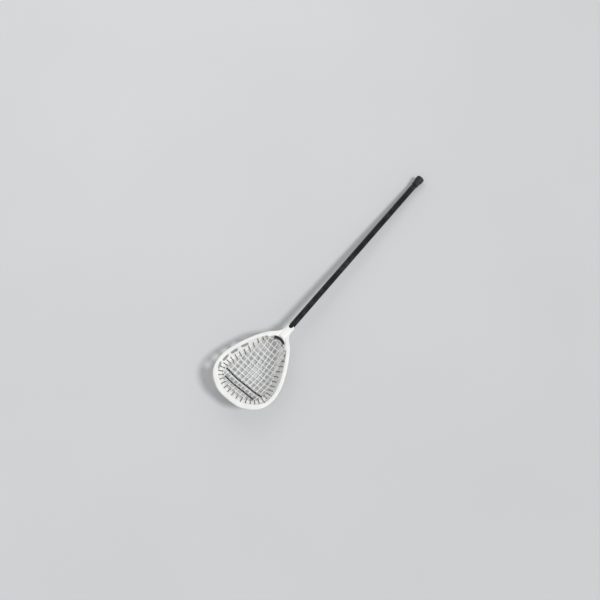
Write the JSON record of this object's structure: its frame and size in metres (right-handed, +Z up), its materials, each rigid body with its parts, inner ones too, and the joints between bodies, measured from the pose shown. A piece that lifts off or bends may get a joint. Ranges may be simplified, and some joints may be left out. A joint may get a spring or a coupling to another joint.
{
  "type": "lacrosse stick",
  "caption": "Goalkeeper's lacrosse stick: wide teardrop moulded head with a laced net pocket, long eight-sided tube shaft and a flared rubber butt cap, lying open face up.",
  "frame": {"origin": "on the floor, under the middle of the stick's box", "axes": "+Y towards the butt, -Y towards the scoop, +Z up out of the head's open face, +X to the right seen from the scoop end"},
  "size_m": [0.3054, 1.3904, 0.1091],
  "materials": {
    "nylon": "white injection-moulded nylon, satin",
    "foam": "closed-cell foam, matt",
    "anodised_tube": "black anodised, satin",
    "cap_rubber": "moulded rubber, matt",
    "screw_steel": "zinc-plated",
    "net_cord": "knitted white nylon net",
    "lace_cord": "braided black nylon string"
  },
  "bodies": {
    "stick": {"head_frame": "nylon", "ball_stop_pad": "foam", "shaft": "anodised_tube", "net_pocket": "net_cord", "sidewall_string_right": "lace_cord", "sidewall_string_left": "lace_cord", "scoop_string": "lace_cord", "throat_string": "lace_cord", "shooting_string_lower": "lace_cord", "shooting_string_upper": "lace_cord"},
    "cap": {"butt_cap": "cap_rubber"},
    "screw": {"head_screw": "screw_steel"}
  },
  "joints": [
    {"name": "butt_cap_pull", "type": "slide", "parent": "stick", "child": "cap", "axis": [0, 0.9983, -0.0575], "range_m": [0, 0.05]},
    {"name": "head_screw_turn", "type": "hinge", "parent": "stick", "child": "screw", "pos_m": [0, -0.30401, 0.05968], "axis": [0, -0.0575, -0.9983], "continuous": true}
  ]
}
